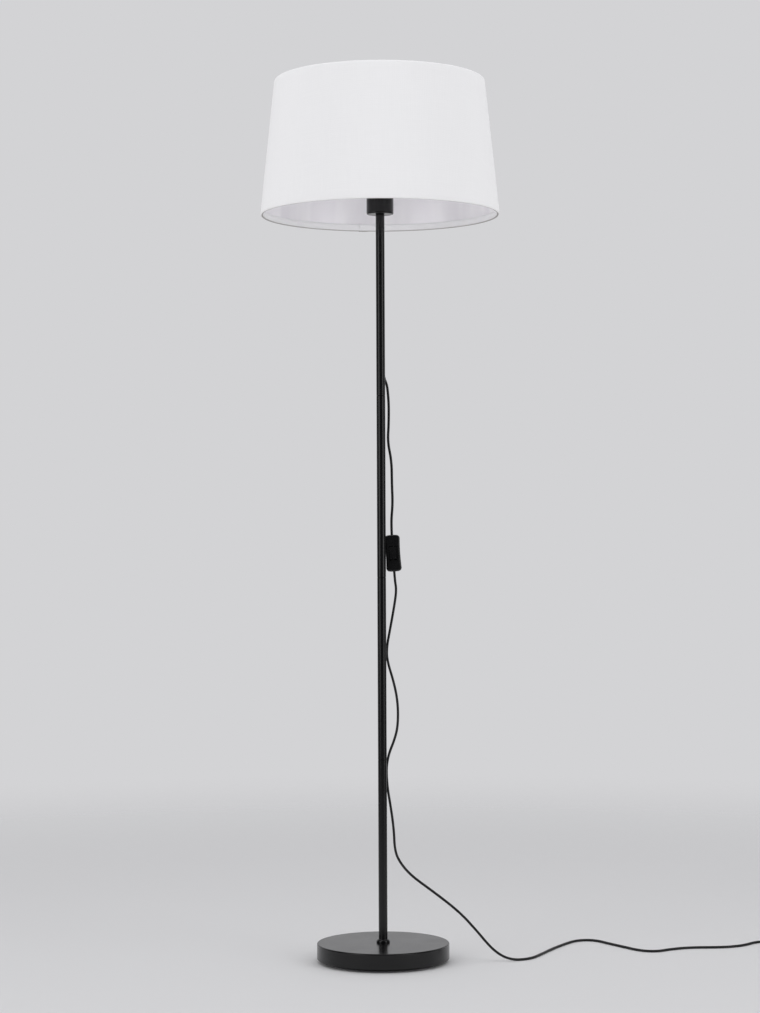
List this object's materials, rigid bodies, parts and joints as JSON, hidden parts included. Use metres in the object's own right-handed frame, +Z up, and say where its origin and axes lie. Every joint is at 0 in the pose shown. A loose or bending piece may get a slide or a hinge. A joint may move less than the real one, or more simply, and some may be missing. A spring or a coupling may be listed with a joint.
{
  "type": "floor lamp",
  "caption": "Floor lamp: round weighted base, thin black column, white tapered drum shade, E27 holder, lead with in-line rocker switch and plug.",
  "frame": {"origin": "on the floor, under the column's axis", "axes": "+Z up along the column, -Y towards the front, the side that the switch's rocker faces; the lead runs off along +X"},
  "size_m": [0.9704, 0.408, 1.5],
  "materials": {
    "satin_black_paint": "satin powder coat",
    "cast_iron": "as cast, painted thin",
    "black_foot_plastic": "fine grain",
    "grey_felt": "felt",
    "zinc_steel": "zinc plated",
    "black_holder_plastic": "satin moulded",
    "porcelain": "unglazed",
    "nickelled_brass": "bright",
    "white_wire": "powder coat",
    "white_linen": "plain weave",
    "pearl_lining": "pearly film",
    "black_pvc_cord": "matte sheath",
    "black_switch_plastic": "half gloss",
    "black_plug_plastic": "moulded",
    "nickelled_pins": "nickel plated",
    "pin_sleeve_plastic": "smooth"
  },
  "bodies": {
    "stand": {"base_cover": "satin_black_paint", "pole_collar": "satin_black_paint", "pole_section_1": "satin_black_paint", "pole_section_2": "satin_black_paint", "pole_section_3": "satin_black_paint", "pole_section_4": "satin_black_paint", "holder_cup": "satin_black_paint", "base_weight": "cast_iron", "base_foot": "black_foot_plastic", "base_felt_ring": "grey_felt", "base_foot_screws": "zinc_steel", "base_stud": "zinc_steel", "base_nut": "zinc_steel", "base_washer": "zinc_steel", "pole_bushes": "zinc_steel", "pole_joint_studs": "zinc_steel", "holder_nipple": "zinc_steel", "holder_terminal_screws": "zinc_steel", "switch_terminal_screws": "zinc_steel", "switch_case_screws": "zinc_steel", "holder_cap": "black_holder_plastic", "holder_body": "black_holder_plastic", "shade_clamp_ring": "black_holder_plastic", "cord_grommet": "black_holder_plastic", "holder_insulator": "porcelain", "holder_screw_shell": "nickelled_brass", "holder_centre_contact": "nickelled_brass", "holder_terminals": "nickelled_brass", "switch_contacts": "nickelled_brass", "shade_carrier": "white_wire", "shade_arms": "white_wire", "shade_top_ring": "white_wire", "shade_bottom_ring": "white_wire", "shade_fabric": "white_linen", "shade_lining": "pearl_lining", "inner_lead": "black_pvc_cord", "cord_upper": "black_pvc_cord", "cord_lower": "black_pvc_cord", "cord_coil": "black_pvc_cord", "switch_base": "black_switch_plastic", "switch_cover": "black_switch_plastic", "switch_cord_clamps": "black_switch_plastic", "plug_body": "black_plug_plastic", "plug_strain_relief": "black_plug_plastic", "plug_pins": "nickelled_pins", "plug_pin_sleeves": "pin_sleeve_plastic"},
    "rocker": {"switch_rocker": "black_switch_plastic", "switch_bridge": "nickelled_brass"}
  },
  "joints": [
    {"name": "rocker_tilt", "type": "hinge", "parent": "stand", "child": "rocker", "pos_m": [0.0197, 0.011, 0.6935], "axis": [0.998, 0, 0.0628], "range_deg": [0, 14]}
  ]
}
